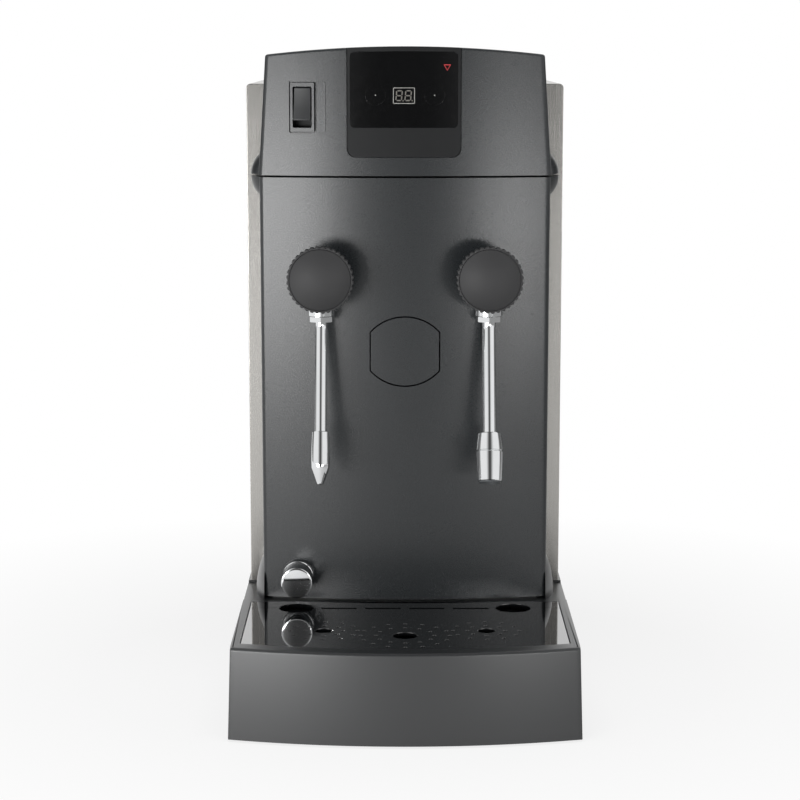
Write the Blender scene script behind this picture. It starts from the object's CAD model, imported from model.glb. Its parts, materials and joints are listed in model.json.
"""Countertop hot water and steam dispenser: its looks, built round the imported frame, in metres."""
import json
from math import asin, atan2, ceil, cos, pi, radians, sin, sqrt

import bmesh
import bpy
from bmesh.types import BMEdge, BMVert
from mathutils import Matrix, Vector

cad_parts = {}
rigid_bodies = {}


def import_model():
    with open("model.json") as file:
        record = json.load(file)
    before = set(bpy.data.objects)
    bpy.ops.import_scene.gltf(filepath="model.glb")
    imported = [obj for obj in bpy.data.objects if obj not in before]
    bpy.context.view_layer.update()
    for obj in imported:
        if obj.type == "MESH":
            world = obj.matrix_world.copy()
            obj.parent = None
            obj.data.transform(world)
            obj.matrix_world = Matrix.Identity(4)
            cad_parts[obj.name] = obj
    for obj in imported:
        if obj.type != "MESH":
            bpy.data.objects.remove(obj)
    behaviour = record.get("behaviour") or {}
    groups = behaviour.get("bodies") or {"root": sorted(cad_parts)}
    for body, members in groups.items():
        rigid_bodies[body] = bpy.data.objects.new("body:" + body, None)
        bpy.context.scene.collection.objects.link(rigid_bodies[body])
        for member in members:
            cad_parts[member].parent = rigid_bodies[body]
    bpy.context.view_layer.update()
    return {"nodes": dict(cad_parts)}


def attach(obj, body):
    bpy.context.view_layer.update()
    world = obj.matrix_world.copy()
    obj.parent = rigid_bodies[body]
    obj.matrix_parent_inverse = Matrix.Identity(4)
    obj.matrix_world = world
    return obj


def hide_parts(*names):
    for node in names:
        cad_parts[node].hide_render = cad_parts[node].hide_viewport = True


for leftover in list(bpy.data.objects):
    bpy.data.objects.remove(leftover)
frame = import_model()

# Rubber feet
# Six black rubber discs, moulded, pushed into the floor of the chassis and its two tray arms.
# They keep their solids, because only their edges show.
CLOUD_MM = 45.0
GRAIN_RELIEF = 0.0002


def linear(code):
    """An sRGB hex colour as linear light."""
    parts = [int(code[i:i + 2], 16) / 255 for i in (1, 3, 5)]
    return [p / 12.92 if p <= 0.04045 else ((p + 0.055) / 1.055) ** 2.4 for p in parts] + [1.0]


def add_node(tree, kind, inputs=(), **settings):
    """Adds a shader node with its settings and its inputs, by name or as a list in the order of its sockets; an
    input is a value, a socket or a node to link from."""
    made = tree.nodes.new(kind)
    for key, value in settings.items():
        setattr(made, key, value)
    for key, value in inputs.items() if isinstance(inputs, dict) else enumerate(inputs):
        if isinstance(value, bpy.types.Node):
            value = value.outputs[0]
        if isinstance(value, bpy.types.NodeSocket):
            tree.links.new(value, made.inputs[key])
        else:
            made.inputs[key].default_value = value
    return made


def start_material(name, **sockets):
    """A new material with constants on its shader; returns it with its tree, shader and Object coordinates."""
    made = bpy.data.materials.new(name)
    made.use_nodes = True
    tree = made.node_tree
    shader = tree.nodes["Principled BSDF"]
    for key, value in sockets.items():
        shader.inputs[key.replace("_", " ")].default_value = value
    coords = add_node(tree, "ShaderNodeTexCoord").outputs["Object"]
    return made, tree, shader, coords


def wire_looks(tree, shader, patches, tones, marks, spread, roughness, depth, relief):
    """Mixes two tones by patches, and sets roughness and bump by marks that run spread to each side of a half."""
    colour = add_node(tree, "ShaderNodeMix", {
        "Factor": patches, "A": linear(tones[0]), "B": linear(tones[1])}, data_type="RGBA")
    tree.links.new(colour.outputs["Result"], shader.inputs["Base Color"])
    rough = add_node(tree, "ShaderNodeMapRange", [marks, 0.5 - spread, 0.5 + spread, *roughness])
    tree.links.new(rough.outputs["Result"], shader.inputs["Roughness"])
    bump = add_node(tree, "ShaderNodeBump", {"Height": marks, "Strength": depth, "Distance": relief})
    tree.links.new(bump.outputs["Normal"], shader.inputs["Normal"])


def moulded_plastic(name, tone, shade, rough, grain_mm, depth, **sockets):
    """Injection-moulded plastic: an even tone with faint flow clouds, and the eroded grain of its mould."""
    made, tree, shader, coords = start_material(name, **sockets)
    clouds = add_node(tree, "ShaderNodeTexNoise", {"Vector": coords, "Scale": 1000 / CLOUD_MM, "Detail": 3.0})
    grain = add_node(tree, "ShaderNodeTexNoise", {
        "Vector": coords, "Scale": 1000 / grain_mm, "Detail": 2.0, "Roughness": 0.6})
    wire_looks(tree, shader, clouds, (tone, shade), grain, 0.2, (rough - 0.03, rough + 0.03), depth, GRAIN_RELIEF)
    return made


def dress(material, *nodes):
    """Gives a material to solids that keep their own shape."""
    for name in nodes:
        mesh = frame["nodes"][name].data
        mesh.materials.clear()
        mesh.materials.append(material)


# Rubber: dull black with a dusty bloom, so it scatters light widely
black_rubber = moulded_plastic("moulded_black_rubber", "#1c1c1c", "#242423", 0.8, 0.9, 0.25)
dress(black_rubber, "rubber_feet")

# Base chassis
# The moulded ABS tub that everything stands on: drafted walls, a deck level with the tray's shelf, a plinth
# set back under the front panel, a half lens on each shoulder, and two arms that the drip tray slides onto.
MM = 0.001
BASE_W = 305.0
BASE_DRAFT = 2.5
BASE_T = 3.0
FLOOR_T = 4.0
Z_RIM = 84.0
Z_DECK = 82.0
SKIRT_Z = 2.0
FOOT_H = 4.0
Y_JOINT = -59.25
Y_CASE = 18.25
Y_BACK = 240.75
PANEL_HW = 134.0
PANEL_R = 648.286
PANEL_CY = 590.036
FOOT_GROOVE = 8.0
ARM_X = 101.0
ARM_W = 22.0
ARM_LEN = 140.0
OPENING_X = 115.5
OPENING_Y = -28.0
LENS_Y = -11.75
EAR_D = 74.0
EAR_RISE = 8.5
MERGE = 0.0005
SLIVER = 0.0001


def box(x0, x1, y0, y1, z0, z1, columns=1):
    """A closed box in millimetres, cut into columns along X so that it can be bowed."""
    bm = bmesh.new()
    bmesh.ops.create_cube(bm, size=1.0)
    bmesh.ops.scale(bm, vec=(x1 - x0, y1 - y0, z1 - z0), verts=bm.verts)
    bmesh.ops.translate(bm, vec=((x0 + x1) / 2, (y0 + y1) / 2, (z0 + z1) / 2), verts=bm.verts)
    if columns > 1:
        along = [e for e in bm.edges if abs(e.verts[0].co.x - e.verts[1].co.x) > 0.001]
        bmesh.ops.subdivide_edges(bm, edges=along, cuts=columns - 1, use_grid_fill=True)
    return bm


def round_edges(bm, test, radius, segments, axis=None):
    """Rounds the creased edges whose ends are both where the test holds, if asked only those along one axis."""
    found = [e for e in bm.edges if all(test(v.co) for v in e.verts) and e.calc_face_angle(0) > 0.4
             and (axis is None or abs((e.verts[1].co - e.verts[0].co)[axis]) > 0.9 * e.calc_length())]
    bmesh.ops.bevel(bm, geom=found, offset=radius, offset_type="OFFSET", affect="EDGES",
                    segments=segments, profile=0.5, material=-1)


def mesh_of(name, bm):
    """Turns a shape into mesh data."""
    mesh = bpy.data.meshes.new(name)
    bm.to_mesh(mesh)
    bm.free()
    return mesh


def put(name, data):
    """A new object in the scene."""
    made = bpy.data.objects.new(name, data)
    bpy.context.scene.collection.objects.link(made)
    return made


def join(bm, *others):
    """Puts further shells into one mesh."""
    for other in others:
        mesh = mesh_of("joining", other)
        bm.from_mesh(mesh)
        bpy.data.meshes.remove(mesh)
    return bm


def carve(bm, *tools, operation="DIFFERENCE"):
    """Cuts a shape with others in turn, or joins them into one skin; a void that nothing opens to is lost."""
    for tool in tools:
        pair = []
        for part in (bm, tool):
            bmesh.ops.recalc_face_normals(part, faces=part.faces)
            pair.append(put("carving", mesh_of("carving", part)))
        cut = pair[0].modifiers.new("carving", "BOOLEAN")
        cut.object = pair[1]
        cut.operation = operation
        cut.solver = "EXACT"
        bm = bmesh.new()
        bm.from_object(pair[0], bpy.context.evaluated_depsgraph_get())
        for obj in pair:
            mesh = obj.data
            bpy.data.objects.remove(obj)
            bpy.data.meshes.remove(mesh)
    return bm


def finish_piece(name, bm, material, nodes=(), body="housing", soft=0.0, crisp=32):
    """Makes the object: merged, facing outwards, in metres, riding its body in place of its solids. Soft rounds
    its edges by so many millimetres; an edge turned by more than crisp degrees is shaded sharp."""
    bmesh.ops.remove_doubles(bm, verts=bm.verts, dist=MERGE)
    bmesh.ops.dissolve_degenerate(bm, dist=MERGE, edges=bm.edges)
    bmesh.ops.holes_fill(bm, edges=[e for e in bm.edges if e.is_boundary], sides=12)
    bmesh.ops.recalc_face_normals(bm, faces=bm.faces)
    bmesh.ops.scale(bm, vec=(MM, MM, MM), verts=bm.verts)
    mesh = mesh_of(name, bm)
    mesh.shade_smooth()
    mesh.set_sharp_from_angle(angle=radians(crisp))
    mesh.materials.append(material)
    made = put(name, mesh)
    if soft:
        edge = made.modifiers.new("moulded_edges", "BEVEL")
        edge.width = soft * MM
        edge.segments = 3
        edge.limit_method = "ANGLE"
        edge.angle_limit = radians(40)
        edge.harden_normals = True
    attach(made, body)
    if nodes:
        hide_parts(*nodes)
    return made


def bowed_box(hw_foot, hw_top, r, y_rear, z0, z1, columns=48):
    """A box that tapers upwards, with its front bowed forward to a radius about the housing's own centre."""
    bm = box(-1.0, 1.0, 0.0, 1.0, z0, z1, columns)
    for v in bm.verts:
        v.co.x *= hw_foot + (hw_top - hw_foot) * (v.co.z - z0) / (z1 - z0)
        v.co.y = y_rear if v.co.y > 0.5 else PANEL_CY - sqrt(r * r - v.co.x ** 2)
    return bm


def draft_sides(bm):
    """Leans the side walls of the base out towards the floor."""
    for v in bm.verts:
        v.co.x *= 1 + 2 * BASE_DRAFT / BASE_W * (Z_RIM - v.co.z) / (Z_RIM - SKIRT_Z)


def place(bm, turn, move):
    """Turns a shape about the origin and then moves it."""
    bmesh.ops.rotate(bm, cent=(0, 0, 0), matrix=turn, verts=bm.verts)
    bmesh.ops.translate(bm, vec=move, verts=bm.verts)
    return bm


def pick(geom, kind):
    """The corners or the edges out of what an operator returns."""
    return [g for g in geom if isinstance(g, kind)]


def lens_pair(x_side, z, d, rise, z_cut, keep_above):
    """Half lens caps, cut off level, that stand out of the left and the right side wall."""
    r = (d * d / 4 + rise * rise) / (2 * rise)
    bm = bmesh.new()
    bmesh.ops.create_uvsphere(bm, u_segments=128, v_segments=128, radius=r)
    place(bm, Matrix.Rotation(radians(90), 3, "Y"), (x_side + rise - r, LENS_Y, z))
    for point, way in (((x_side - 1.0, 0, 0), (-1, 0, 0)), ((0, 0, z_cut), (0, 0, -1 if keep_above else 1))):
        cut = bmesh.ops.bisect_plane(bm, geom=bm.verts[:] + bm.edges[:] + bm.faces[:], dist=SLIVER,
                                     plane_co=point, plane_no=way, clear_outer=True)
        bmesh.ops.edgeloop_fill(bm, edges=pick(cut["geom_cut"], BMEdge))
    left = bm.copy()
    bmesh.ops.scale(left, vec=(-1, 1, 1), verts=left.verts)
    bmesh.ops.reverse_faces(left, faces=left.faces)
    return left, bm


chassis = box(-BASE_W / 2, BASE_W / 2, Y_JOINT, Y_BACK, FOOT_H, Z_RIM)
round_edges(chassis, lambda p: p.y > Y_BACK - 1, 10.0, 8, axis=2)
draft_sides(chassis)
plinth_hw = PANEL_HW - FOOT_GROOVE
plinth = bowed_box(plinth_hw, plinth_hw, PANEL_R - FOOT_GROOVE, Y_CASE + 5, Z_DECK - 5, Z_RIM + 10)
tub = box(-BASE_W / 2 + BASE_T, BASE_W / 2 - BASE_T, Y_JOINT + BASE_T, Y_BACK - BASE_T,
          FOOT_H + FLOOR_T, Z_DECK - BASE_T)
draft_sides(tub)
chassis = carve(chassis, carve(box(-BASE_W, BASE_W, Y_JOINT - 5, Y_CASE, Z_DECK, Z_RIM + 5), plinth),
                box(-OPENING_X, OPENING_X, OPENING_Y, Y_BACK - 15, FOOT_H + FLOOR_T, Z_RIM + 1), tub)
for x in (-ARM_X, ARM_X):
    join(chassis, box(x - ARM_W / 2, x + ARM_W / 2, Y_JOINT - ARM_LEN, Y_JOINT + BASE_T / 2, FOOT_H, FOOT_H + FLOOR_T))
join(chassis, *lens_pair(PANEL_HW + 0.3, Z_RIM, EAR_D, EAR_RISE, Z_DECK - BASE_T / 2, True))
# ABS with a fine spark-eroded grain: charcoal, satin, with broad soft highlights that whiten at a low angle
satin_abs = moulded_plastic("moulded_satin_charcoal_abs", "#131517", "#17191b", 0.42, 0.45, 0.12,
                            Coat_Weight=0.85, Coat_Roughness=0.32)
finish_piece("base_chassis_moulding", chassis, satin_abs, ["base_chassis"], soft=0.5)

# Boiler and its fittings
# The spun stainless tank on its stand, with lid, element, probe and thermostat, and the copper pipes and
# power board round it. All of it is shut inside the casing, so each keeps its solid and gets a real finish.
MARK_RELIEF = 0.0001


def worked_metal(name, tone, shade, rough, streak_mm, depth):
    """Bare metal with the marks of its making; streak_mm is how long a mark is along X, Y and Z."""
    made, tree, shader, coords = start_material(name, Metallic=1.0)
    stretched = add_node(tree, "ShaderNodeMapping", {"Vector": coords, "Scale": [1000 / s for s in streak_mm]})
    marks = add_node(tree, "ShaderNodeTexNoise", {
        "Vector": stretched, "Scale": 1.0, "Detail": 4.0, "Roughness": 0.6})
    wire_looks(tree, shader, marks, (tone, shade), marks, 0.25, (0.8 * rough, 1.25 * rough), depth, MARK_RELIEF)
    return made


# Spun stainless steel: fine rings from the lathe, so the marks lie flat and stack along Z
spun_steel = worked_metal("spun_stainless_steel", "#b9babb", "#a4a5a6", 0.32, (40, 40, 0.5), 0.15)
# Drawn copper tube: warm and smooth, dulled in patches by heat
drawn_copper = worked_metal("drawn_copper_tube", "#c98a63", "#a86a48", 0.3, (9, 9, 9), 0.05)
# Turned brass: yellow, with short turning marks
turned_brass = worked_metal("turned_brass", "#c2aa6c", "#ad9355", 0.28, (6, 0.4, 6), 0.12)
# Ground steel spindle
ground_steel = worked_metal("ground_steel_bar", "#b4b6b8", "#9fa1a3", 0.25, (4, 0.3, 4), 0.1)
# Glass-filled nylon: black, slightly rough
black_nylon = moulded_plastic("moulded_black_nylon", "#1a1a1b", "#222223", 0.5, 0.6, 0.2)
# Steatite: off-white fired insulator
steatite = moulded_plastic("fired_steatite", "#d8d5cc", "#cbc7bc", 0.55, 1.2, 0.25)
# Glass-epoxy board under a green solder mask
solder_mask = moulded_plastic("green_solder_mask", "#24573a", "#1d4a30", 0.38, 2.5, 0.15)
# Silicone seal
silicone = moulded_plastic("moulded_silicone", "#7c2f28", "#8a3a31", 0.6, 0.8, 0.15)
dress(spun_steel, "boiler_tank", "boiler_lid", "boiler_stand", "heating_element")
dress(drawn_copper, "steam_pipe", "water_pipe", "fill_pipe", "drain_pipe")
dress(turned_brass, "steam_locknut", "water_locknut", "steam_plug", "water_plug")
dress(ground_steel, "steam_spindle", "water_spindle")
dress(steatite, "level_probe", "safety_thermostat")
dress(solder_mask, "control_board")
dress(black_nylon, "inlet_valve")
dress(silicone, "drain_seal")

# Steel casing
# One sheet of brushed stainless, folded over the top into two sides, with a flange folded in all along the
# front; the plastic housing is screwed against that flange, and a strip of it shows on each side.
CASE_W = 300.0
Z_CASE = 565.0
SHEET = 1.2
FOLD_R = 4.0
SHEET_EDGE = 0.6
FLANGE_X = 122.5
REAR_LIP = 12.0


def shell_of(bm, open_sides, thickness):
    """Takes away the faces of a closed shape whose middle passes a test, and gives the rest a wall inwards."""
    bmesh.ops.delete(bm, geom=[f for f in bm.faces if open_sides(f.calc_center_median())], context="FACES")
    bmesh.ops.recalc_face_normals(bm, faces=bm.faces)
    bmesh.ops.solidify(bm, geom=bm.faces[:], thickness=thickness)
    return bm


def even_shading(piece):
    """Lets the broad faces set the normals at their edges, so that they shade as flat as they are."""
    piece.modifiers.new("even_shading", "WEIGHTED_NORMAL").keep_sharp = True


casing = box(-CASE_W / 2, CASE_W / 2, Y_CASE, Y_BACK, Z_RIM, Z_CASE)
round_edges(casing, lambda p: p.z > Z_CASE - 1, FOLD_R, 6, axis=1)
casing = shell_of(casing, lambda c: c.y > Y_BACK - 0.1 or c.z < Z_RIM + 0.1, SHEET)
round_edges(casing, lambda p: p.y < Y_CASE + 0.01 and (p.z > Z_RIM + 1 or abs(p.x) > CASE_W / 2 - 0.01),
            SHEET_EDGE, 3)
casing = carve(casing, box(-FLANGE_X, FLANGE_X, Y_CASE - 5, Y_CASE + 5, Z_RIM - 5, Z_CASE - REAR_LIP))
# Brushed stainless sheet: long hairlines up the sides, over the top and down again
brushed_steel = worked_metal("brushed_stainless_sheet", "#b6b4b0", "#a8a6a2", 0.24, (0.25, 0.25, 60), 0.02)
even_shading(finish_piece("steel_casing_sheet", casing, brushed_steel, ["steel_casing"]))
dress(brushed_steel, "back_panel")

# Casing screws
# Six pan-head screws with cross recesses, in zinc-plated steel, that hold the back panel to the casing.
BACK_HW = CASE_W / 2 - SHEET - 0.3
Z_BACK = Z_CASE - SHEET - 0.3
SCREW_IN = 14.0
SCREW_D = 7.0
SCREW_H = 2.0
CROSS_HW = 0.5
CROSS_HL = 2.2
UP, FRONT, BACK = (0, 0, 1), (0, -1, 0), (0, 1, 0)


def turned(profile, origin, axis, steps=96):
    """Spins a profile of (radius, height) pairs round an axis that starts at the origin point."""
    bm = bmesh.new()
    line = [bm.verts.new((r, 0, h)) for r, h in profile]
    edges = [bm.edges.new(pair) for pair in zip(line, line[1:])]
    bmesh.ops.spin(bm, geom=line + edges, cent=(0, 0, 0), axis=UP, angle=2 * pi, steps=steps, use_merge=True)
    bmesh.ops.remove_doubles(bm, verts=bm.verts, dist=MERGE)
    return place(bm, Vector(axis).to_track_quat("Z", "Y").to_matrix(), origin)


screws = bmesh.new()
r = SCREW_D / 2
dome = [(0, 0), (r, 0), (r, 0.9), (r - 0.3, 1.4), (r - 1.2, 1.9), (0, SCREW_H)]
for x in (SCREW_IN - BACK_HW, BACK_HW - SCREW_IN):
    for z in (Z_RIM + SCREW_IN, (Z_RIM + Z_BACK) / 2, Z_BACK - SCREW_IN):
        cross = [box(x - w, x + w, Y_BACK + 0.9, Y_BACK + 5, z - h, z + h)
                 for w, h in ((CROSS_HW, CROSS_HL), (CROSS_HL, CROSS_HW))]
        join(screws, carve(turned(dome, (x, Y_BACK, z), BACK, 48), *cross))
# Zinc plate: pale and fairly bright, with a blotchy passivation
zinc_plate = worked_metal("zinc_plated_steel", "#c6c8c8", "#aeb1b4", 0.3, (3, 3, 3), 0.1)
finish_piece("casing_screw_heads", screws, zinc_plate, ["casing_screws"])

# Water inlet and cable gland
# A brass hose inlet, its thread drawn as rings, and a nylon gland for the mains lead, both through the back
# panel.
INLET_X = 105.0
Z_INLET = 154.0
INLET_D = 26.4
INLET_BORE = 15.0
INLET_OUT = 13.0
INLET_TAIL = 20.0
THREAD_PITCH = 1.8
GLAND_D = 20.0
GLAND_BORE = 9.0
GLAND_OUT = 11.0
GLAND_TAIL = 9.2


def ring(bore, d, h0, h1):
    """Profile of a plain ring, or of a disc where there is no bore."""
    line = [(bore / 2, h0), (d / 2, h0), (d / 2, h1), (bore / 2, h1)]
    return line + line[:1] if bore else line


def hexagon(corners, origin, axis, height, bore, chamfer):
    """A hexagon nut with chamfered corners, drawn along an axis from the origin point."""
    bm = bmesh.new()
    bmesh.ops.create_cone(bm, cap_ends=True, segments=6, radius1=corners / 2, radius2=corners / 2, depth=height)
    bmesh.ops.translate(bm, vec=(0, 0, height / 2), verts=bm.verts)
    r, wide = corners / 2 - chamfer, corners / 2 + chamfer
    bm = carve(bm, turned([(0, -0.1), (r, -0.1), (wide, chamfer), (wide, height - chamfer),
                           (r, height + 0.1), (0, height + 0.1)], (0, 0, 0), UP, 72), operation="INTERSECT")
    bm = carve(bm, turned(ring(0, bore, -1, height + 1), (0, 0, 0), UP, 64))
    return place(bm, Vector(axis).to_track_quat("Z", "Y").to_matrix(), origin)


def threaded(outer, bore, h0, h1, pitch, depth):
    """Profile of a bored tube whose outside carries V-shaped thread rings from h0 to h1."""
    line = [(bore / 2, h0), (outer / 2 - depth, h0)]
    h = h0 + pitch / 2
    while h + pitch < h1:
        line += [(outer / 2 - depth, h), (outer / 2, h + pitch * 0.4), (outer / 2, h + pitch * 0.6)]
        h += pitch
    return line + [(outer / 2 - depth, h), (outer / 2 - depth, h1), (bore / 2, h1), (bore / 2, h0)]


at = (INLET_X, Y_BACK, Z_INLET)
inlet = turned(ring(INLET_BORE, INLET_D, -INLET_TAIL, 3.9), at, BACK)
join(inlet, turned(threaded(INLET_D, INLET_BORE, 3.8, INLET_OUT, THREAD_PITCH, 0.7), at, BACK),
     hexagon(INLET_D + 9, at, BACK, 4.0, INLET_BORE + 0.2, 0.7))
finish_piece("water_inlet", inlet, turned_brass, ["inlet_fitting"])
at = (-INLET_X, Y_BACK, Z_INLET)
r, bore = GLAND_D / 2, GLAND_BORE / 2
gland = turned(threaded(GLAND_D, GLAND_BORE, 5.0, GLAND_OUT - 3, 1.5, 0.5), at, BACK)
join(gland, turned([(bore, 7.5), (r, 7.5), (r, GLAND_OUT - 1.5), (r - 1.5, GLAND_OUT), (bore, GLAND_OUT), (bore, 7.5)],
                   at, BACK),
     turned(ring(GLAND_BORE, GLAND_D, -GLAND_TAIL, 5.1), at, BACK),
     hexagon(GLAND_D + 8, at, BACK, 5.0, GLAND_BORE + 0.1, 0.8),
     hexagon(GLAND_D + 8, (-INLET_X, Y_BACK - SHEET, Z_INLET), FRONT, 5.0, GLAND_BORE + 0.1, 0.8))
finish_piece("cable_gland_body", gland, black_nylon, ["cable_gland"])

# Front panel
# The tall bowed ABS moulding that carries the taps: a shell with rounded front corners, open behind and at
# both ends, with a flat boss round each tap and the drain, and the lower halves of the two side lenses. A
# strip of black sponge rubber closes the seam above it from within.
SEAM_HW = 134.5
PANEL_TOP = 480.6
Z_SEAM = 482.5
SHELL_T = 3.5
CORNER_R = 4.0
TAP_X = 77.0
Z_TAP = 391.0
Y_TAP = -56.75
Y_PAD = -44.75
TAP_BOSS_D = 40.0
TAP_HOLE_D = 22.6
DRAIN_X = -101.0
Z_DRAIN = 106.0
Y_DRAIN = -53.834
DRAIN_BOSS_D = 30.0
DRAIN_HOLE_D = 16.6
BLANK_Z = 320.0
BLANK_W = 63.5
BLANK_H = 64.0
BLANK_R = 42.6
LENS_D = 41.0
LENS_RISE = 9.8
STRIP_Z0 = PANEL_TOP - 6
STRIP_Z1 = PANEL_TOP + 5
STRIP_T = 1.6


def bar_y(x, z, y0, y1, d, edge=0.0, steps=96):
    """A round bar along Y, with its front edge rounded off."""
    r = d / 2
    arc = [(r - edge + edge * sin(a), y1 - y0 - edge + edge * cos(a))
           for a in (radians(90 - 22.5 * i) for i in range(5))] if edge else [(r, y1 - y0)]
    return turned([(0, 0), (r, 0)] + arc + [(0, y1 - y0)], (x, y1, z), FRONT, steps)


def blank_prism(grow):
    """The blanking cap's outline drawn along Y: straight flanks between an upper and a lower arc."""
    w = BLANK_W / 2 + grow
    bm = box(-w, w, Y_TAP - 10, Y_PAD, BLANK_Z - BLANK_H, BLANK_Z + BLANK_H)
    arcs = [bar_y(0, z, Y_TAP - 20, Y_PAD + 10, 2 * (BLANK_R + grow), steps=160)
            for z in (BLANK_Z - BLANK_H / 2 + BLANK_R, BLANK_Z + BLANK_H / 2 - BLANK_R)]
    return carve(bm, *arcs, operation="INTERSECT")


panel = bowed_box(PANEL_HW, SEAM_HW, PANEL_R, Y_CASE, Z_RIM, PANEL_TOP)
panel = shell_of(panel, lambda c: c.y > Y_CASE - 0.1 or c.z < Z_RIM + 0.1 or c.z > PANEL_TOP - 0.1, SHELL_T)
round_edges(panel, lambda p: p.y < 0 and abs(p.x) > PANEL_HW - 0.1, CORNER_R, 6, axis=2)
for x, z, y, d, hole in ((-TAP_X, Z_TAP, Y_TAP, TAP_BOSS_D, TAP_HOLE_D), (TAP_X, Z_TAP, Y_TAP, TAP_BOSS_D, TAP_HOLE_D),
                         (DRAIN_X, Z_DRAIN, Y_DRAIN, DRAIN_BOSS_D, DRAIN_HOLE_D)):
    panel = carve(panel, bar_y(x, z, y, Y_PAD, d, 0.8), operation="UNION")
    panel = carve(panel, bar_y(x, z, y - 5, Y_PAD + 5, hole))
panel = carve(panel, blank_prism(1.1))
join(panel, *lens_pair(SEAM_HW, PANEL_TOP + 0.6, LENS_D, LENS_RISE, PANEL_TOP, False))
# ABS off a polished tool: charcoal, semi-gloss, so it shows soft bands of the room down both sides
gloss_abs = moulded_plastic("moulded_charcoal_abs", "#1d2022", "#212426", 0.28, 0.5, 0.05, IOR=1.55)
even_shading(finish_piece("front_panel_moulding", panel, gloss_abs, ["front_panel"]))
strip_hw = SEAM_HW - SHELL_T + 0.2
strip = bowed_box(strip_hw, strip_hw, PANEL_R - SHELL_T + 0.2, Y_CASE, STRIP_Z0, STRIP_Z1)
strip = shell_of(strip, lambda c: c.y > Y_CASE - 0.1 or c.z < STRIP_Z0 + 0.1 or c.z > STRIP_Z1 - 0.1, STRIP_T)
# Sponge rubber: dead black, without any gloss
sponge_rubber = moulded_plastic("black_sponge_rubber", "#030303", "#060606", 0.95, 0.8, 0.3, Specular_IOR_Level=0.05)
finish_piece("panel_seam_strip", strip, sponge_rubber)

# Blanking cap
# A plate of the same ABS, snapped from behind into the spare opening so that it lies flush.
slab = bowed_box(BLANK_W, BLANK_W, PANEL_R, Y_PAD - 5, BLANK_Z - BLANK_H, BLANK_Z + BLANK_H, 40)
cap = carve(blank_prism(-0.1), slab, operation="INTERSECT")
finish_piece("blanking_cap_plate", cap, gloss_abs, ["blanking_cap"], soft=0.25)

# Tap bodies
# Two chrome-plated brass valves: a flange against the panel's boss, a barrel towards the knob, and an outlet
# that drops to a collar, where a hexagon union nut holds the pipe.
OUTLET_Y = -75.75
Z_OUTLET = 355.5
COLLAR_H = 6.5
COLLAR_D = 24.6
BOSS_D = 21.6
BARREL_D = 26.0
BARREL_L = 32.0
NUT_D = 23.4
NUT_H = 5.0
NUT_BORE = 12.2
# Chrome plate: a mirror with a trace of haze and fingerprints
chrome = worked_metal("polished_chrome_plate", "#e6e7e8", "#d8dadb", 0.06, (25, 25, 25), 0.0)
for x, tap in ((-TAP_X, "steam"), (TAP_X, "water")):
    r = BARREL_D / 2
    valve = turned([(0, -26), (11, -26), (11, 0), (16.4, 0), (17, 0.6), (17, 2.4), (16.4, 3), (13.6, 3), (r, 3.8),
                    (r, BARREL_L - 1), (r - 1, BARREL_L), (4.06, BARREL_L), (4.06, BARREL_L - 6), (0, BARREL_L - 6)],
                   (x, Y_TAP, Z_TAP), FRONT)
    boss, r = BOSS_D / 2, COLLAR_D / 2
    outlet = turned([(0, 30), (boss, 30), (boss, COLLAR_H + 0.8), (boss + 0.4, COLLAR_H), (r - 0.6, COLLAR_H),
                     (r, COLLAR_H - 0.6), (r, 0.6), (r - 0.6, 0), (8.3, 0), (8.3, 3), (0, 3)],
                    (x, OUTLET_Y, Z_OUTLET), UP)
    valve = carve(valve, outlet, operation="UNION")
    finish_piece(tap + "_valve_casting", valve, chrome, [tap + "_valve"])
    nut = hexagon(NUT_D, (x, OUTLET_Y, Z_OUTLET - NUT_H), UP, NUT_H, NUT_BORE, 0.7)
    finish_piece(tap + "_union_nut", nut, chrome, [tap + "_nut"], soft=0.25)

# Steam wand and water spout
# Two chrome-plated tubes, bent forward under their nuts; the wand ends in a barrel sleeve with a conical
# tip, the spout in a flared nozzle with a groove and a perforated aerator.
PIPE_IN = 12.0
BEND_IN = 19.0
BEND_DROP = 7.0
LEAN = radians(18)
RUN = Vector((0, -sin(LEAN), -cos(LEAN)))


def bent_pipe(x, d, length):
    """A round tube: down out of the tap, round the bend and along its run; with the point where its bend ends."""
    r = BEND_IN + d / 2
    bm = bmesh.new()
    bmesh.ops.create_circle(bm, cap_ends=False, segments=64, radius=d / 2,
                            matrix=Matrix.Translation((x, OUTLET_Y, Z_OUTLET + PIPE_IN)))
    down = bmesh.ops.extrude_edge_only(bm, edges=bm.edges[:])["geom"]
    bmesh.ops.translate(bm, vec=(0, 0, -BEND_DROP - PIPE_IN), verts=pick(down, BMVert))
    spun = bmesh.ops.spin(bm, geom=pick(down, BMEdge), cent=(x, OUTLET_Y - r, Z_OUTLET - BEND_DROP),
                          axis=(1, 0, 0), angle=-LEAN, steps=16)["geom_last"]
    along = bmesh.ops.extrude_edge_only(bm, edges=pick(spun, BMEdge))["geom"]
    bmesh.ops.translate(bm, vec=RUN * length, verts=pick(along, BMVert))
    bmesh.ops.holes_fill(bm, edges=bm.edges[:], sides=64)
    return bm, Vector((x, OUTLET_Y - r + r * cos(LEAN), Z_OUTLET - BEND_DROP - r * sin(LEAN)))


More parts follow.
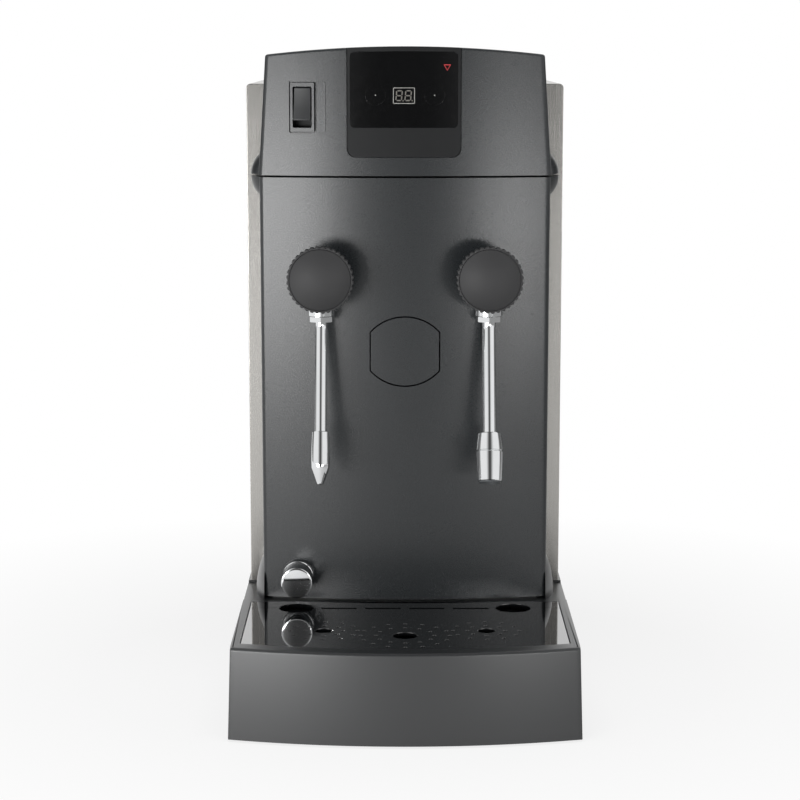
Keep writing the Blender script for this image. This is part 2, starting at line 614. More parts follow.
STEAM_D = 11.0
STEAM_LEN = 93.0
SLEEVE_L = 34.0
TIP_L = 14.0
pipe, bend = bent_pipe(-TAP_X, STEAM_D, STEAM_LEN + 10)
finish_piece("steam_wand_pipe", pipe, chrome, ["steam_wand_tube"], "steam_wand")
end = SLEEVE_L + TIP_L
tip = turned([(5.6, 0), (7.6, 0), (8.0, 0.5), (8.3, SLEEVE_L * 0.25), (8.5, SLEEVE_L * 0.45), (8.5, SLEEVE_L * 0.8),
              (8.2, SLEEVE_L - 0.8), (7.8, SLEEVE_L), (2.9, end - 0.6), (2.3, end), (1.2, end), (1.2, SLEEVE_L),
              (5.6, 8), (5.6, 0)], bend + RUN * STEAM_LEN, RUN)
finish_piece("steam_wand_sleeve", tip, chrome, ["steam_wand_tip"], "steam_wand", crisp=25)
WATER_D = 12.0
WATER_LEN = 94.0
NOZZLE_L = 44.0
AERATOR_D = 19.2
JET_D = 2.4
pipe, bend = bent_pipe(TAP_X, WATER_D, WATER_LEN + 10)
finish_piece("water_spout_pipe", pipe, chrome, ["water_spout_tube"], "water_spout")
at = bend + RUN * WATER_LEN
nozzle = turned([(6.1, 0), (9.9, 0), (10.35, 0.5), (11.4, 8), (12.1, 15.6), (11.4, 16.2), (11.4, 16.7), (12.1, 17.3),
                 (11.9, 26), (11.05, NOZZLE_L - 0.5), (10.6, NOZZLE_L), (9.66, NOZZLE_L), (9.66, NOZZLE_L - 10),
                 (4.5, NOZZLE_L - 10), (4.5, 13), (6.1, 13), (6.1, 0)], at, RUN)
finish_piece("water_nozzle_turning", nozzle, chrome, ["water_nozzle"], "water_spout", crisp=25)
# The aerator is grey acetal, with a ring of six holes round a flat screen
acetal = moulded_plastic("moulded_grey_acetal", "#55585a", "#4b4e50", 0.4, 0.7, 0.15)
r = AERATOR_D / 2
aerator = turned([(0, NOZZLE_L - 9.9), (r, NOZZLE_L - 9.9), (r, NOZZLE_L + 1.2), (r - 0.3, NOZZLE_L + 1.5),
                  (r - 1.7, NOZZLE_L + 1.5), (r - 2, NOZZLE_L + 1.2), (r - 2, NOZZLE_L - 2), (0, NOZZLE_L - 2)],
                 at, RUN)
sideways = Vector((1, 0, 0))
for i in range(6):
    a = radians(60 * i)
    spot = at + (sideways * cos(a) + RUN.cross(sideways) * sin(a)) * AERATOR_D / 4
    aerator = carve(aerator, turned(ring(0, JET_D, 30, 60), spot, RUN, 24))
finish_piece("water_aerator_ring", aerator, acetal, ["water_aerator"], "water_spout")

# Knobs
# Each tap has a knob of soft-touch nylon in two parts: a grip with 36 flutes round its rim, hollow behind
# its hub, and a smooth domed cap pressed into its front.
KNOB_D = 61.0
KNURLS = 36
FLUTE = 1.35
Y_KNOB = -90.75
Y_KNOB_FRONT = -102.75
CAP_D = 55.5
CAP_H = 8.0


def fluted_ring(x, z, stations):
    """A ring skinned through stations of (y, radius, flute depth), closed at both ends."""
    bm = bmesh.new()
    bmesh.ops.create_circle(bm, cap_ends=False, segments=KNURLS * 12, radius=1.0)
    edges = bm.edges[:]
    for step, (y, r, flute) in enumerate(stations):
        if step:
            edges = pick(bmesh.ops.extrude_edge_only(bm, edges=edges)["geom"], BMEdge)
        for v in {v for e in edges for v in e.verts}:
            a = atan2(v.co.z - z, v.co.x - x) if step else atan2(v.co.y, v.co.x)
            rim = r - flute * (0.5 + 0.5 * cos(KNURLS * a)) ** 2
            v.co = (x + rim * cos(a), y, z + rim * sin(a))
    bmesh.ops.holes_fill(bm, edges=bm.edges[:], sides=KNURLS * 12)
    return bm


# Soft-touch nylon: dark grey, almost matt, with a very fine grain
soft_nylon = moulded_plastic("soft_touch_grey_nylon", "#2a2a2b", "#2f2f30", 0.6, 0.35, 0.12)
DOME_R = (CAP_D ** 2 / 4 + CAP_H ** 2) / (2 * CAP_H)
for x, tap in ((-TAP_X, "steam"), (TAP_X, "water")):
    grip = fluted_ring(x, Z_TAP, [
        (Y_KNOB, 11.0, 0), (Y_KNOB - 7, 11.0, 0), (Y_KNOB - 7, 25.5, 0), (Y_KNOB, 25.5, 0), (Y_KNOB, 27.5, 0),
        (Y_KNOB - 0.3, 28.9, 0.4), (Y_KNOB - 1.2, 30.0, 0.9), (Y_KNOB - 3, KNOB_D / 2, FLUTE),
        (Y_KNOB_FRONT + 0.9, KNOB_D / 2, FLUTE), (Y_KNOB_FRONT + 0.3, 30.2, 1.2), (Y_KNOB_FRONT, 29.5, 0.7),
        (Y_KNOB_FRONT, 28.2, 0), (Y_KNOB_FRONT + 0.4, 27.9, 0), (Y_KNOB_FRONT + 2, 27.9, 0)])
    finish_piece(tap + "_knob_grip_ring", grip, soft_nylon, [tap + "_knob_grip"], tap + "_knob", crisp=40)
    arc = [(r * 0.993, sqrt(DOME_R ** 2 - r ** 2) - DOME_R + CAP_H)
           for r in (CAP_D / 2 * i / 24 for i in range(24, -1, -1))]
    dome = turned([(0, -1.9), (CAP_D / 2, -1.9), (CAP_D / 2, -0.4)] + arc, (x, Y_KNOB_FRONT, Z_TAP), FRONT, 128)
    finish_piece(tap + "_knob_dome", dome, soft_nylon, [tap + "_knob_cap"], tap + "_knob")

# Drain
# A chrome-plated stub with a flange ring on the panel's boss, closed by a screwed chrome cap.
Y_DCAP = -61.334
DCAP_D = 29.0
DCAP_L = 24.0
DCAP_DOME = 0.65
stub = turned([(5.5, -23), (8, -23), (8, 0), (13.6, 0), (14.2, 0.6), (14.2, 2.4), (13.6, 3), (8.6, 3), (8, 3.6),
               (8, 25.5), (5.5, 25.5), (5.5, -23)], (DRAIN_X, Y_DRAIN, Z_DRAIN), FRONT)
finish_piece("drain_stub_turning", stub, chrome, ["drain_stub"])
r = DCAP_D / 2
dome = [((r - 0.9) * i / 10, DCAP_L - DCAP_DOME * (i / 10) ** 2) for i in range(10, -1, -1)]
flat = DCAP_L - DCAP_DOME
plug_cap = turned([(0, 19), (8.1, 19), (8.1, 0), (r - 0.8, 0), (r, 0.8), (r, flat - 0.9), (r - 0.12, flat - 0.45),
                   (r - 0.45, flat - 0.12)] + dome, (DRAIN_X, Y_DCAP, Z_DRAIN), FRONT, 128)
finish_piece("drain_cap_turning", plug_cap, chrome, ["drain_cap"], "drain_cap", crisp=40)

# Head cover
# The crowned ABS lid over the front panel, with rounded edges, a pocket for the control insert, an opening
# for the switch and the upper halves of the side lenses; a lip behind hooks over the casing's flange.
HEAD_FOOT_HW = 135.3
HEAD_TOP_HW = 128.25
HEAD_R = 649.086
FACE_R = 649.486
CROWN_R = 1107.996
Z_TOP = 600.0
INSERT_X = -0.9
INSERT_W = 103.4
INSERT_FOOT = 500.0
INSERT_T = 2.0
INSERT_R = 7.5
SWITCH_X = 94.0
SWITCH_Z = 545.0
SWITCH_W = 21.5
SWITCH_H = 40.5
BEZEL_W = 24.4
BEZEL_H = 46.7
LEGEND_X = 76.85
LEGEND_W = 8.7
KEY_X = 27.0
KEY_Z = 556.0
LAMP_X = 38.5
LAMP_Z = 581.0


def crown(bm):
    """Lets the top sink from the middle towards the sides."""
    for v in bm.verts:
        if v.co.z > Z_TOP - 10:
            v.co.z -= CROWN_R - sqrt(CROWN_R ** 2 - v.co.x ** 2)


def plate(x, z, w, h, y0, y1, corner=0.0):
    """A flat upright plate with round corners, from y0 to y1."""
    bm = box(x - w / 2, x + w / 2, y0, y1, z - h / 2, z + h / 2)
    if corner:
        round_edges(bm, lambda p: True, corner, 8, axis=1)
    return bm


def wrap(bm, r=FACE_R, step=2.0):
    """Slices a flat plate into narrow columns and lays it on the bowed face; its y is the depth behind that."""
    lo, hi = min(v.co.x for v in bm.verts), max(v.co.x for v in bm.verts)
    for i in range(1, ceil((hi - lo) / step)):
        bmesh.ops.bisect_plane(bm, geom=bm.verts[:] + bm.edges[:] + bm.faces[:], dist=SLIVER,
                               plane_co=(lo + i * step, 0, 0), plane_no=(1, 0, 0))
    for v in bm.verts:
        v.co.y += PANEL_CY - sqrt(r * r - v.co.x ** 2)
    return bm


def on_face(bm, x=SWITCH_X):
    """Stands a flat piece square on the bowed head at the switch's height, x left of the middle plane."""
    turn = Matrix.Rotation(-asin(x / HEAD_R), 3, "Z")
    return place(bm, turn, (-x, PANEL_CY - sqrt(HEAD_R ** 2 - x * x), SWITCH_Z))


head = bowed_box(HEAD_FOOT_HW, HEAD_TOP_HW, HEAD_R, Y_CASE, Z_SEAM, Z_TOP)
round_edges(head, lambda p: p.y < 0 and abs(p.x) > HEAD_TOP_HW - 0.1, CORNER_R, 6, axis=2)
round_edges(head, lambda p: p.z > Z_TOP - 0.01, 2.2, 4)
crown(head)
void = bowed_box(HEAD_FOOT_HW - SHELL_T, HEAD_TOP_HW - SHELL_T, HEAD_R - SHELL_T, Y_CASE - SHELL_T,
                 Z_SEAM - 1, Z_TOP - SHELL_T)
crown(void)
pocket = plate(INSERT_X, INSERT_FOOT - 0.9 + 100, INSERT_W + 1.8, 200, -8.0, INSERT_T + 0.8, INSERT_R + 0.9)
head = carve(head, void, wrap(pocket, HEAD_R),
             box(-FLANGE_X, FLANGE_X, Y_CASE - 2 * SHELL_T, Y_CASE + 5, Z_SEAM - 5, Z_CASE - REAR_LIP),
             on_face(plate(0, 0, BEZEL_W + 0.4, BEZEL_H + 0.4, -8.0, 2.8, 1.4)),
             on_face(plate(0, 0, SWITCH_W + 0.6, SWITCH_H + 0.6, -8.0, 12.0)),
             on_face(plate(0, 0, LEGEND_W + 0.5, BEZEL_H + 0.5, -8.0, 0.5, 2.0), LEGEND_X))
for x, z, d in ((-KEY_X, KEY_Z, 22.0), (0.0, KEY_Z, 22.0), (KEY_X, KEY_Z, 22.0), (LAMP_X, LAMP_Z, 7.0)):
    head = carve(head, bar_y(x, z, -65.0, -45.0, d, steps=48))
join(head, *lens_pair(SEAM_HW, Z_SEAM - 0.6, LENS_D, LENS_RISE, Z_SEAM, True))
even_shading(finish_piece("head_cover_moulding", head, gloss_abs, ["head_cover"]))

# Control insert and window
# A matte plate let into the head and running out over its top edge, with a gloss acrylic window let into it
# in turn. Both are pierced for the two keys, the display and the lamp; they carry no lettering.
KEY_D = 18.6
DISP_X = -1.0
DISP_W = 20.6
DISP_H = 16.0
LAMP_W = 6.5
LAMP_H = 5.33
WINDOW_X = -1.0
WINDOW_Z = 561.0
WINDOW_W = 98.5
WINDOW_H = 69.0
WINDOW_T = 0.8
WINDOW_R = 4.0


def lamp_prism(grow, y0, y1):
    """The lamp's triangle, point down, drawn from y0 to y1."""
    bm = bmesh.new()
    bmesh.ops.create_circle(bm, cap_ends=True, segments=3, radius=1.0)
    w, h = LAMP_W / 2 + 2 * grow, LAMP_H / 2 + 1.5 * grow
    for v, (x, z) in zip(bm.verts, ((-w, h), (w, h), (0, -h))):
        v.co = (LAMP_X + x, y0, LAMP_Z + z)
    raised = bmesh.ops.extrude_face_region(bm, geom=bm.faces[:])["geom"]
    bmesh.ops.translate(bm, vec=(0, y1 - y0, 0), verts=pick(raised, BMVert))
    return bm


def pierce(bm):
    """Cuts a flat plate for the keys, the display and the lamp."""
    return carve(bm, bar_y(-KEY_X, KEY_Z, -9, 9, KEY_D + 0.3), bar_y(KEY_X, KEY_Z, -9, 9, KEY_D + 0.3),
                 plate(DISP_X, KEY_Z, DISP_W + 0.6, DISP_H + 0.6, -9, 9), lamp_prism(0.3, -9, 9))


insert = plate(INSERT_X, (INSERT_FOOT + Z_TOP + 10) / 2, INSERT_W, Z_TOP + 10 - INSERT_FOOT,
               0.0, INSERT_T + 0.35, INSERT_R)
insert = carve(insert, box(-INSERT_W, INSERT_W, -9, 9, Z_TOP, Z_TOP + 50),
               plate(WINDOW_X, WINDOW_Z, WINDOW_W + 0.3, WINDOW_H + 0.3, -9, WINDOW_T, WINDOW_R))
insert = wrap(pierce(insert))
crown(insert)
# Fine-grained matte plastic, near black
matte_plastic = moulded_plastic("matte_black_polycarbonate", "#151617", "#191a1b", 0.45, 0.3, 0.15,
                                Specular_IOR_Level=0.22)
finish_piece("control_insert_plate", insert, matte_plastic, ["control_insert"], soft=0.35)
window = wrap(pierce(plate(WINDOW_X, WINDOW_Z, WINDOW_W, WINDOW_H, 0.0, WINDOW_T - 0.05, WINDOW_R)))
# Back-printed acrylic: black and glassy
black_acrylic = moulded_plastic("back_printed_black_acrylic", "#060607", "#08090a", 0.08, 6.0, 0.0,
                                Coat_Weight=0.3, Coat_Roughness=0.04)
finish_piece("control_window_pane", window, black_acrylic, ["control_window"], soft=0.05)

# Keys
# Two round key caps, flush with the window, on stems that press the switches of the display board; a
# tiny white dot marks the middle of each.
Y_KEY_COLLAR = -53.25
Y_KEY_STEM = -48.55
DOT_D = 0.9
# White pad-printing ink, slightly raised
white_ink = moulded_plastic("white_pad_print", "#d9d9d6", "#cfcfcc", 0.5, 0.4, 0.1)
for x, key in ((-KEY_X, "left_button"), (KEY_X, "right_button")):
    button = wrap(bar_y(x, KEY_Z, 0.0, 7.0, KEY_D, 0.06))
    join(button, bar_y(x, KEY_Z, Y_KEY_COLLAR, Y_KEY_COLLAR + 1.2, KEY_D + 3),
         bar_y(x, KEY_Z, Y_KEY_COLLAR + 0.25, Y_KEY_STEM, 6.0))
    even_shading(finish_piece(key + "_cap", button, black_acrylic, [key], key))
    dot = wrap(bar_y(x, KEY_Z, -0.04, 0.5, DOT_D, steps=24))
    finish_piece(key + "_dot", dot, white_ink, [], key)

# Display
# The board behind the insert, with two press switches and a block whose face shows two seven-segment
# digits, unlit, inside a pale printed frame.
Y_BOARD = -44.75
BOARD_W = 91.2
BOARD_H = 58.0
DISP_Y = -59.05
SLANT = 0.09
BAR = 1.1
module = plate(0, KEY_Z, BOARD_W, BOARD_H, Y_BOARD, Y_BOARD + 1.6)
join(module, *(plate(x, KEY_Z, 6, 6, Y_BOARD - 2.5, Y_BOARD) for x in (-KEY_X, KEY_X)))
finish_piece("display_board", module, solder_mask, ["display_module"], soft=0.2)
face = plate(DISP_X, KEY_Z, DISP_W, DISP_H, DISP_Y, Y_BOARD + 0.5, 0.8)
finish_piece("display_block", face, black_acrylic, soft=0.15)
rim = carve(plate(DISP_X, KEY_Z - 0.4, DISP_W - 0.8, DISP_H - 1.4, DISP_Y - 0.06, DISP_Y + 0.3, 1.0),
            plate(DISP_X, KEY_Z - 0.4, DISP_W - 1.9, DISP_H - 2.5, DISP_Y - 2, DISP_Y + 2, 0.6))
# Pale grey printing round the display
grey_ink = moulded_plastic("grey_screen_print", "#a9a8a4", "#9c9b97", 0.5, 0.4, 0.1)
finish_piece("display_frame", rim, grey_ink)
digits = bmesh.new()
for x in (-4.4, 3.9):
    for dx, dz, w, h in ((0, 4.4, 4.2, BAR), (0, 0, 4.2, BAR), (0, -4.4, 4.2, BAR), (-2.55, 2.2, BAR, 4.0),
                         (2.55, 2.2, BAR, 4.0), (-2.55, -2.2, BAR, 4.0), (2.55, -2.2, BAR, 4.0)):
        bar = plate(x + dx, KEY_Z - 0.4 + dz, w, h, DISP_Y - 0.05, DISP_Y + 0.2)
        round_edges(bar, lambda p: True, BAR * 0.48, 1, axis=1)
        join(digits, bar)
    join(digits, bar_y(x + 4.1, KEY_Z - 5.0, DISP_Y - 0.05, DISP_Y + 0.2, 1.2, steps=24))
for v in digits.verts:
    v.co.x += DISP_X + SLANT * (v.co.z - KEY_Z)
# Unlit segments: milky grey behind smoked plastic
unlit_segments = moulded_plastic("unlit_led_segments", "#6f6c66", "#64615c", 0.35, 0.8, 0.05)
finish_piece("display_digits", digits, unlit_segments)

# Indicator lamp
# A clear red light pipe, triangular with its point down, that shows as a bright outline round a dark middle.
lamp = carve(lamp_prism(0.0, 0.0, 14.0), lamp_prism(-0.32, -1.0, 0.5))
# Tinted polycarbonate: red and glassy, with the faint glow of a light pipe
red_polycarbonate = moulded_plastic("tinted_red_polycarbonate", "#cf4d50", "#bd4245", 0.15, 2.0, 0.0,
                                    Emission_Color=linear("#cf4d50"), Emission_Strength=0.35)
finish_piece("indicator_lamp_pipe", wrap(lamp), red_polycarbonate, ["indicator_lamp"])
core = lamp_prism(-0.4, 0.12, 0.6)
finish_piece("indicator_lamp_middle", wrap(core), black_acrylic)

# Mains switch
# A snap-in rocker switch: a bezel, a well behind it with three terminals, and a dished rocker on a cross pin,
# a little narrower than its well and drawn with its lower end out.
ROCKER_W = 15.7
WELL_W = 17.6
ROCKER_L = 34.4
WELL_H = 37.2
ROCKER_FACE = -4.9
ROCKER_REAR = 4.5
DISH = 1.3
PIVOT_Y = 3.0
PIN_D = 3.0
TILT = radians(10)
bezel = carve(plate(0, 0, BEZEL_W - 1.8, BEZEL_H - 1.8, -1.2, 0.6, 1.2), plate(0, 0, WELL_W, WELL_H, -5, 5, 1.6))
finish_piece("switch_bezel", on_face(bezel), gloss_abs, ["switch_housing"], soft=0.35)
well = carve(plate(0, 0, SWITCH_W, SWITCH_H, 0.3, 16.0), plate(0, 0, WELL_W, WELL_H, -5, 14.0))
join(well, *(plate(0, z, 6.3, 0.8, 15.5, 24.0) for z in (-8.0, 0.0, 8.0)))
finish_piece("switch_well", on_face(well), matte_plastic, soft=0.2)
rocker = box(-ROCKER_W / 2, ROCKER_W / 2, 0.0, 1.0, -ROCKER_L / 2, ROCKER_L / 2)
upright = [e for e in rocker.edges if abs(e.verts[0].co.z - e.verts[1].co.z) > 1]
bmesh.ops.subdivide_edges(rocker, edges=upright, cuts=23, use_grid_fill=True)
# The face is dished, the rear slopes forward and draws in at its ends, and the lower end is the shorter one
for v in rocker.verts:
    t = abs(v.co.z) / (ROCKER_L / 2)
    v.co.y = ROCKER_FACE - DISH * t ** 1.7 if v.co.y < 0.5 else ROCKER_REAR - 5.5 * max(0.0, t - 0.36) / 0.45
    if v.co.y > -3 and t > 0.8:
        v.co.z *= 1 - 0.19 * (t - 0.8) / 0.2
    v.co.z *= 0.76 if v.co.z < 0 else 1.0
round_edges(rocker, lambda p: p.y < -3.0, 0.9, 4)
join(rocker, turned(ring(0, PIN_D, -10, 10), (0, 0, 0), (1, 0, 0), 32))
rocker = on_face(place(rocker, Matrix.Rotation(-TILT, 3, "X"), (0, PIVOT_Y, 0)))
# Nylon off a polished tool: charcoal black, with a soft highlight on the dished face
gloss_nylon = moulded_plastic("gloss_black_nylon", "#303132", "#353637", 0.34, 0.8, 0.06)
finish_piece("switch_rocker_cap", rocker, gloss_nylon, ["switch_rocker"], "switch_rocker")

# Switch legend
# A thin strip beside the bezel, with a stroke for on and a ring for off printed faintly on it.
MARK_Z = 13.5
strip = on_face(plate(0, 0, LEGEND_W, BEZEL_H, -0.3, 0.5, 2.0), LEGEND_X)
finish_piece("switch_legend_strip", strip, gloss_abs, ["switch_legend"], soft=0.2)
marks = plate(0, MARK_Z, 0.55, 3.4, -0.36, 0.0)
join(marks, turned(ring(2.4, 3.4, -0.2, 0.36), (0, 0, -MARK_Z), FRONT, 32))
# Dark grey print that hardly stands out from the strip
dim_ink = moulded_plastic("dim_grey_print", "#63676a", "#5a5e60", 0.5, 0.4, 0.1)
finish_piece("switch_legend_marks", on_face(marks, LEGEND_X), dim_ink)

# Drip tray
# A double-walled ABS moulding that slides over the chassis arms: a drafted, bowed skirt with a round front
# lip, a recessed ledge for the grid, a shelf behind it with two finger holes, and a basin below.
Y_LIP = -251.25
TRAY_R = 591.406
TRAY_CY = Y_LIP + TRAY_R
TRAY_BACK = -59.75
Y_GRID = -82.75
RIM_SIDE = 7.5
RIM_FRONT = 16.0
LEDGE_W = 5.0
LEDGE_T = 3.0
LIP_R = 3.0
Z_LEDGE = 79.0
Z_BASIN = 8.1
FINGER_X = 101.0
FINGER_D = 32.0
TRAY_EDGE = 0.7


def tray_block(inset_side, inset_front, y_rear, z0, z1, drafted=False, columns=72):
    """A block with the tray's bowed front, inset from its rim; drafted, it leans out towards the floor."""
    hw = BASE_W / 2 - inset_side
    bm = box(-hw, hw, 0.0, 1.0, z0, z1, columns)
    for v in bm.verts:
        lean = BASE_DRAFT * (Z_RIM - v.co.z) / (Z_RIM - SKIRT_Z) if drafted else 0.0
        v.co.x *= 1 + lean / hw
        v.co.y = y_rear if v.co.y > 0.5 else TRAY_CY - sqrt((TRAY_R - inset_front + lean) ** 2 - v.co.x ** 2)
    return bm


tray = tray_block(0, 0, TRAY_BACK, SKIRT_Z, Z_RIM, True)
round_edges(tray, lambda p: p.y < TRAY_BACK - 50 and abs(p.x) > BASE_W / 2 - 0.1, TRAY_EDGE, 3, axis=2)
round_edges(tray, lambda p: p.y < TRAY_BACK - 160 and p.z > Z_RIM - 0.1, LIP_R, 6)
side, front = RIM_SIDE + LEDGE_W, RIM_FRONT + LEDGE_W
hollow = carve(tray_block(BASE_T, BASE_T, TRAY_BACK + 1, SKIRT_Z - 1, Z_LEDGE - LEDGE_T, True),
               tray_block(side - BASE_T, front - BASE_T, TRAY_BACK + 5, Z_BASIN, Z_RIM))
tray = carve(tray, hollow, tray_block(RIM_SIDE, RIM_FRONT, TRAY_BACK + 1, Z_DECK, Z_RIM + 2),
             tray_block(RIM_SIDE, RIM_FRONT, Y_GRID, Z_LEDGE, Z_RIM + 1),
             tray_block(side, front, Y_GRID - LEDGE_W, Z_BASIN + BASE_T, Z_RIM + 1),
             tray_block(side, front + 5, TRAY_BACK - BASE_T, Z_BASIN + BASE_T, Z_LEDGE - LEDGE_T))
r = FINGER_D / 2
for x in (-FINGER_X, FINGER_X):
    tray = carve(tray, turned([(0, Z_LEDGE - 4), (r + 3, Z_LEDGE - 4), (r + 3, Z_DECK - 2.4), (r, Z_DECK - 2.4),
                               (r, Z_DECK - 0.4), (r + 0.5, Z_DECK + 0.1), (r + 0.5, Z_RIM), (0, Z_RIM)],
                              (x, Y_GRID - 1, 0), UP))
tray = finish_piece("drip_tray_moulding", tray, satin_abs, ["drip_tray"], "drip_tray", soft=0.5)
# Polished plastic: black as piano lacquer, so it mirrors what stands on it; the shelf and its finger holes
# are polished like the grid
piano_black = moulded_plastic("polished_black_styrene", "#0f1011", "#131415", 0.05, 4.0, 0.0,
                              IOR=2.0, Coat_Weight=1.0, Coat_Roughness=0.03, Coat_IOR=1.6)
tray.data.materials.append(piano_black)
for face in tray.data.polygons:
    x, y, z = face.center / MM
    inside = abs(x) < BASE_W / 2 - RIM_SIDE - 0.2
    face.material_index = int(inside and y > Y_GRID - 20 and Z_LEDGE - 4.5 < z < Z_DECK + 0.1)

# Drip grid
# A polished black plate that lies in the tray and lifts off by its finger notches: three countersunk drain
# holes among rings of small ones, four slots along its back edge and two ribs below.
MID_Y = -182.75
OUT_Y = -165.75
OUT_X = 73.0
MID_D = 22.0
OUT_D = 15.6
MID_RINGS = ((26, 12), (40, 16))
OUT_RINGS = ((17, 8), (30, 12))
SMALL_D = 3.6
SLOT_HL = 16.5
RIB_T = 2.5
RIB_H = 6.0


def drill(bm, x, y, d, edge):
    """A hole through the plate with a small countersink."""
    r = d / 2
    return carve(bm, turned([(0, Z_LEDGE - 9), (r, Z_LEDGE - 9), (r, Z_DECK - edge), (r + edge + 0.1, Z_DECK + 0.1),
                             (0, Z_DECK + 0.1)], (x, y, 0), UP, 48 if d > 10 else 20))


grid = tray_block(RIM_SIDE + 0.5, RIM_FRONT + 0.5, Y_GRID - 0.5, Z_LEDGE + 0.1, Z_DECK)
for x, y, d, rings in ((0, MID_Y, MID_D, MID_RINGS), (-OUT_X, OUT_Y, OUT_D, OUT_RINGS),
                       (OUT_X, OUT_Y, OUT_D, OUT_RINGS)):
    grid = drill(grid, x, y, d, 0.4)
    for reach, count in rings:
        for i in range(count):
            a = 2 * pi * i / count
            grid = drill(grid, x + reach * cos(a), y + reach * sin(a), SMALL_D, 0.4)
for side in (-1, 1):
    grid = drill(grid, side * FINGER_X, Y_GRID - 1, FINGER_D, 0.5)
    for x in (20.5, 61.5):
        grid = carve(grid, box(side * x - SLOT_HL, side * x + SLOT_HL, Y_GRID - 5, Y_GRID, Z_LEDGE - 1, Z_DECK + 1))
for y in (Y_GRID - 38, MID_Y - 44):
    reach = sqrt((TRAY_R - RIM_FRONT - LEDGE_W) ** 2 - (TRAY_CY - y + RIB_T / 2) ** 2)
    w = min(BASE_W / 2 - RIM_SIDE - LEDGE_W, reach) - LEDGE_W
    join(grid, box(-w, w, y - RIB_T / 2, y + RIB_T / 2, Z_LEDGE + 0.1 - RIB_H, Z_LEDGE + 0.2))
finish_piece("drip_grid_plate", grid, piano_black, ["drip_grid"], "drip_grid")

# Studio
# White paper and a white room, with a soft panel low on each side in front, the left one stronger, and one
# overhead that nothing mirrors. What the object mirrors is dark behind the camera and at the rear sides, so
# that the bowed plastic shows pale bands at its edges and the chrome a dark line down its middle.
FLOOR_HALF = 6.0
WHITE = linear("#ffffff")
FILL = 0.35


def soft_panel(name, spot, look_at, wide, tall, watts):
    """An area lamp that faces a point."""
    data = bpy.data.lights.new(name, "AREA")
    data.shape = "RECTANGLE"
    data.size, data.size_y = wide, tall
    data.energy = watts
    panel = put(name, data)
    panel.location = spot
    panel.rotation_euler = (Vector(look_at) - Vector(spot)).to_track_quat("-Z", "Y").to_euler()
    return panel


floor_mesh = bmesh.new()
bmesh.ops.create_grid(floor_mesh, x_segments=1, y_segments=1, size=FLOOR_HALF)
floor = put("studio_floor", mesh_of("studio_floor", floor_mesh))
paper = bpy.data.materials.new("white_studio_paper")
paper.use_nodes = True
tree = paper.node_tree
tree.nodes.clear()
rays = add_node(tree, "ShaderNodeLightPath").outputs
spot = add_node(tree, "ShaderNodeTexCoord").outputs["Object"]
# Plastic and metal mirror the paper white on the left, and only as bright as it is lit on the right
across = add_node(tree, "ShaderNodeSeparateXYZ", [spot]).outputs["X"]
gleam = add_node(tree, "ShaderNodeMapRange", [across, -0.28, 0.16, 1.0, 0.0])
gleam = add_node(tree, "ShaderNodeMath", [rays["Is Glossy Ray"], gleam], operation="MULTIPLY")
seen = add_node(tree, "ShaderNodeMath", [rays["Is Camera Ray"], gleam], operation="ADD")
seen = add_node(tree, "ShaderNodeMath", [seen, rays["Is Transmission Ray"]], operation="ADD", use_clamp=True)
reach = add_node(tree, "ShaderNodeVectorMath", [spot], operation="LENGTH").outputs["Value"]
fade = add_node(tree, "ShaderNodeMapRange", [reach, 0.3, 0.75, 0.8, 1.0])
share = add_node(tree, "ShaderNodeMath", [seen, fade], operation="MULTIPLY")
matt = add_node(tree, "ShaderNodeBsdfDiffuse", [linear("#f4f4f4")])
glow = add_node(tree, "ShaderNodeEmission", [WHITE, 1.0])
mixed = add_node(tree, "ShaderNodeMixShader", [share, matt, glow])
add_node(tree, "ShaderNodeOutputMaterial", [mixed])
floor.data.materials.append(paper)

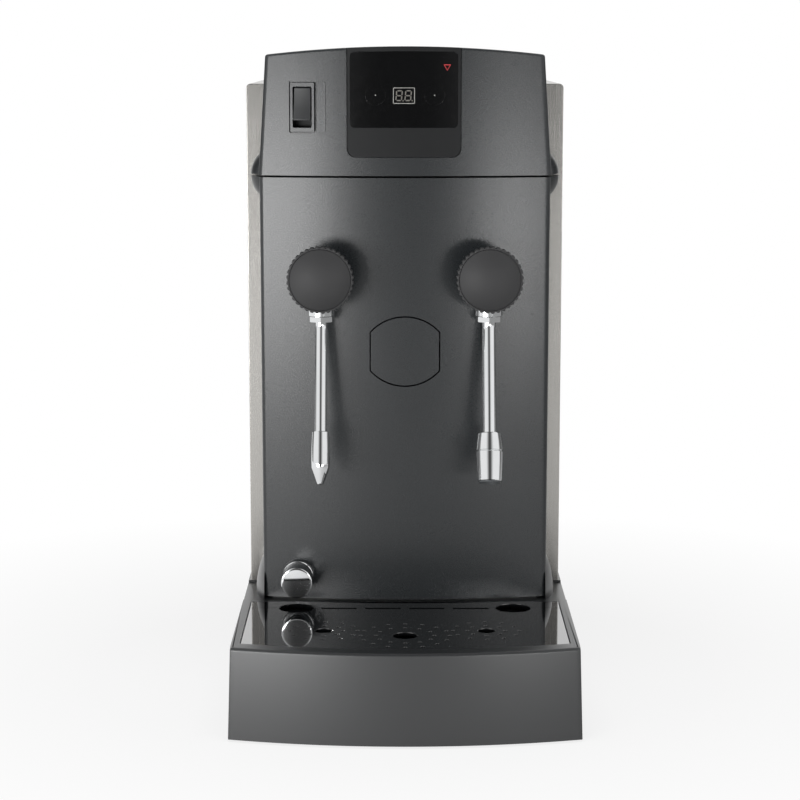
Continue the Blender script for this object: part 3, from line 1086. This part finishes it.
# The room: white to the camera, dim to dull surfaces, and to mirrors white with dark flags
world = bpy.data.worlds.new("white_room")
bpy.context.scene.world = world
world.use_nodes = True
tree = world.node_tree
tree.nodes.clear()
rays = add_node(tree, "ShaderNodeLightPath").outputs
way = add_node(tree, "ShaderNodeTexCoord").outputs["Generated"]
way = add_node(tree, "ShaderNodeSeparateXYZ", [way]).outputs
aside = add_node(tree, "ShaderNodeMath", [way["X"]], operation="ABSOLUTE")
middle = add_node(tree, "ShaderNodeMapRange", [aside, 0.06, 0.58, 1.0, 0.0], interpolation_type="SMOOTHSTEP")
front = add_node(tree, "ShaderNodeMapRange", [way["Y"], -0.3, 0.7, 0.92, 0.0])
dark = add_node(tree, "ShaderNodeMath", [middle, front], operation="MULTIPLY")
flags = add_node(tree, "ShaderNodeMapRange", [aside, 0.45, 0.65, 0.0, 0.85], interpolation_type="SMOOTHSTEP")
behind = add_node(tree, "ShaderNodeMapRange", [way["Y"], 0.05, 0.25, 0.0, 1.0])
flags = add_node(tree, "ShaderNodeMath", [flags, behind], operation="MULTIPLY")
dark = add_node(tree, "ShaderNodeMath", [dark, flags], operation="MAXIMUM")
left_over = add_node(tree, "ShaderNodeMath", [1.0, dark], operation="SUBTRACT")
shown, room, white = (add_node(tree, "ShaderNodeBackground", [WHITE, s]) for s in (FILL, left_over, 1.0))
for ray, light in (("Is Glossy Ray", room), ("Is Transmission Ray", white), ("Is Camera Ray", white)):
    shown = add_node(tree, "ShaderNodeMixShader", [rays[ray], shown, light])
add_node(tree, "ShaderNodeOutputWorld", [shown])

soft_panel("left_panel", (-1.18, -1.93, 0.28), (0, -0.05, 0.28), 1.3, 0.42, 22.5)
soft_panel("right_panel", (0.88, -2.1, 0.26), (0, -0.05, 0.3), 0.62, 0.2, 6.2)
soft_panel("top_panel", (0, -0.6, 1.9), (0, -0.05, 0.3), 1.4, 1.0, 14).visible_glossy = False

# Camera
# A long lens in front of the machine, a little above its head, looking slightly down.
camera_data = bpy.data.cameras.new("camera")
camera_data.sensor_width = 36.0
camera_data.lens = 101.4
camera = put("camera", camera_data)
camera.location = (-0.0046, -2.131, 0.604)
camera.rotation_euler = (radians(90 - 9.03), 0, 0)
bpy.context.scene.camera = camera
bpy.context.scene.view_settings.view_transform = "Standard"
